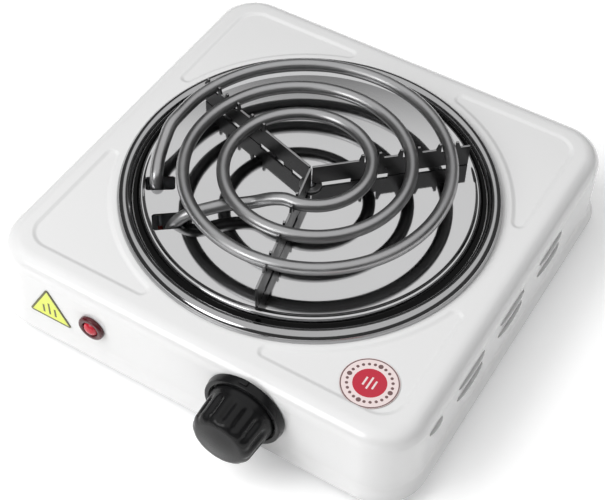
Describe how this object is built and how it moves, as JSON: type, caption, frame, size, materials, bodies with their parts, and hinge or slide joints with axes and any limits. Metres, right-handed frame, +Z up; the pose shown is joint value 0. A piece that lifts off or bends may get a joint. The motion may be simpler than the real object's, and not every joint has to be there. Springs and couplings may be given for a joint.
{
  "type": "hot plate burner",
  "caption": "Single-coil electric hot plate with a square enamelled housing, drip pan, chrome trim ring, thermostat knob and indicator lamp.",
  "frame": {"origin": "middle of the footprint, on the worktop", "axes": "+Z up, front face with the knob towards -Y, +X to the right as seen from the front"},
  "size_m": [0.235, 0.26, 0.0727],
  "materials": {
    "white_enamel": "glossy white vitreous enamel",
    "chrome": "polished chrome plate",
    "polished_steel": "mirror-polished sheet steel",
    "heating_tube_steel": "smooth heat-darkened steel sheath",
    "spider_steel": "plain pressed steel",
    "zinc_plated_steel": "zinc plated",
    "brass": "plain brass",
    "steatite": "matt pressed ceramic",
    "black_phenolic": "glossy black moulding",
    "black_rubber": "matt black rubber",
    "red_lens": "clear red moulding",
    "maroon_plastic": "dark red moulding",
    "lamp_glass": "clear glass",
    "yellow_label": "printed adhesive label",
    "red_label": "printed adhesive label",
    "red_silicone": "silicone sleeve",
    "blue_silicone": "silicone sleeve",
    "white_silicone": "silicone sleeve"
  },
  "bodies": {
    "housing": {"base_plate": "zinc_plated_steel", "bimetal_strip": "zinc_plated_steel", "bracket_screw_left": "zinc_plated_steel", "bracket_screw_right": "zinc_plated_steel", "bush_nut": "brass", "caution_label": "red_label", "ceramic_bush_inner": "steatite", "ceramic_bush_outer": "steatite", "ceramic_stack": "steatite", "coil_element": "heating_tube_steel", "cord_gland": "black_rubber", "dial_bezel": "black_phenolic", "drip_pan": "polished_steel", "earth_screw": "brass", "fixed_contact_arm": "brass", "foot_screw_front_left": "zinc_plated_steel", "foot_screw_front_right": "zinc_plated_steel", "foot_screw_rear_left": "zinc_plated_steel", "foot_screw_rear_right": "zinc_plated_steel", "heat_label": "yellow_label", "heat_shield": "zinc_plated_steel", "housing_shell": "white_enamel", "input_tab": "brass", "lamp_bezel": "maroon_plastic", "lamp_clip": "zinc_plated_steel", "lamp_lead_live": "white_silicone", "lamp_lead_neutral": "white_silicone", "lamp_lens": "red_lens", "neon_lamp": "lamp_glass", "output_tab": "brass", "rubber_foot_front_left": "black_rubber", "rubber_foot_front_right": "black_rubber", "rubber_foot_rear_left": "black_rubber", "rubber_foot_rear_right": "black_rubber", "shield_spacer": "zinc_plated_steel", "spider_hub": "spider_steel", "support_arm_front": "spider_steel", "support_arm_left": "spider_steel", "support_arm_right": "spider_steel", "terminal_block": "steatite", "terminal_pin_inner": "zinc_plated_steel", "terminal_pin_outer": "zinc_plated_steel", "terminal_screw_live": "brass", "terminal_screw_neutral": "brass", "thermostat_bracket": "zinc_plated_steel", "thermostat_bush": "brass", "tie_bolt": "zinc_plated_steel", "tie_nut": "zinc_plated_steel", "tie_spacer": "zinc_plated_steel", "trim_ring": "chrome", "wire_live_feed": "red_silicone", "wire_neutral": "blue_silicone", "wire_switched": "red_silicone"},
    "knob": {"control_knob": "black_phenolic", "knob_clip": "zinc_plated_steel", "thermostat_spindle": "brass"},
    "contact_blade": {"contact_blade": "brass"}
  },
  "joints": [
    {"name": "knob_turn", "type": "hinge", "parent": "housing", "child": "knob", "pos_m": [0.035, -0.105, 0.0315], "axis": [0, 1, 0], "range_deg": [0, 280]},
    {"name": "contact_blade_bend", "type": "hinge", "parent": "housing", "child": "contact_blade", "pos_m": [0.0185, -0.089, 0.0315], "axis": [0, 0, 1], "range_deg": [-0.5, 5]}
  ],
  "couplings": [
    {"joint": "contact_blade_bend", "follows": "knob_turn", "ratio": 0.014286}
  ]
}
